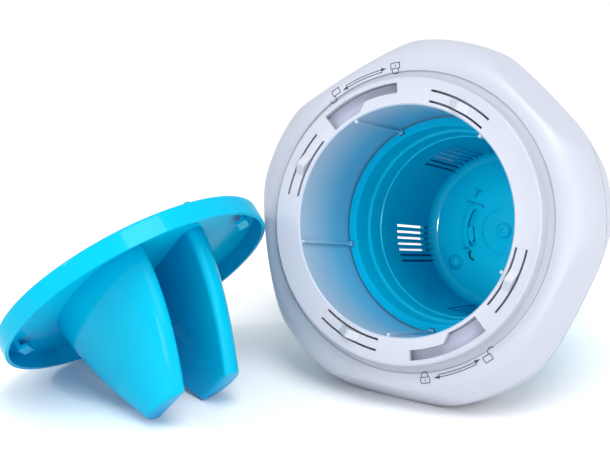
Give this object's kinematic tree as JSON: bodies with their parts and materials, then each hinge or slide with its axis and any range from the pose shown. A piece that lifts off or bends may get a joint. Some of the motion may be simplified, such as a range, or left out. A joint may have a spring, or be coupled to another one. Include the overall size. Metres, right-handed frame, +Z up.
{
  "type": "floating chlorine dispenser",
  "caption": "White float ring with five flats, a blue tablet canister hanging in it, a turning flow adjuster below, and a push-and-turn lid lying beside it.",
  "frame": {"origin": "middle of everything's footprint, on the table it lies on", "axes": "+Z up from the table; the dispenser lies on one flat of its float, with the canister's foot towards +Y and its mouth facing -Y and 19.5 degrees up; the lid lies on the -X side"},
  "size_m": [0.264, 0.2708, 0.1682],
  "materials": {
    "white_plastic": "moulded white polypropylene, satin gloss",
    "blue_plastic": "moulded polypropylene, glossy with soft highlights"
  },
  "bodies": {
    "float": {"float_top_shell": "white_plastic", "float_bottom_shell": "white_plastic", "collar": "white_plastic"},
    "tongue_1": {"spring_tongue_1": "white_plastic"},
    "tongue_2": {"spring_tongue_2": "white_plastic"},
    "tongue_3": {"spring_tongue_3": "white_plastic"},
    "tongue_4": {"spring_tongue_4": "white_plastic"},
    "canister": {"canister": "blue_plastic"},
    "adjuster": {"flow_adjuster": "blue_plastic", "pivot_pin": "blue_plastic"},
    "lid": {"lid": "blue_plastic"}
  },
  "joints": [
    {"name": "canister_slide", "type": "slide", "parent": "float", "child": "canister", "axis": [0, -0.9426, 0.3339], "range_m": [0, 0.028]},
    {"name": "flow_adjuster_turn", "type": "hinge", "parent": "canister", "child": "adjuster", "pos_m": [0.0424, 0.11663, 0.04524], "axis": [0, -0.9426, 0.3339], "range_deg": [-28, 9]},
    {"name": "lid_lift", "type": "slide", "parent": "float", "child": "lid", "axis": [0, 0, 1], "range_m": [0, 0.1]},
    {"name": "tongue_1_press", "type": "slide", "parent": "float", "child": "tongue_1", "axis": [0, -0.9426, 0.3339], "range_m": [-0.0025, 0], "stiffness_N_per_m": 2000},
    {"name": "tongue_2_press", "type": "slide", "parent": "float", "child": "tongue_2", "axis": [0, -0.9426, 0.3339], "range_m": [-0.0025, 0], "stiffness_N_per_m": 2000},
    {"name": "tongue_3_press", "type": "slide", "parent": "float", "child": "tongue_3", "axis": [0, -0.9426, 0.3339], "range_m": [-0.0025, 0], "stiffness_N_per_m": 2000},
    {"name": "tongue_4_press", "type": "slide", "parent": "float", "child": "tongue_4", "axis": [0, -0.9426, 0.3339], "range_m": [-0.0025, 0], "stiffness_N_per_m": 2000}
  ]
}
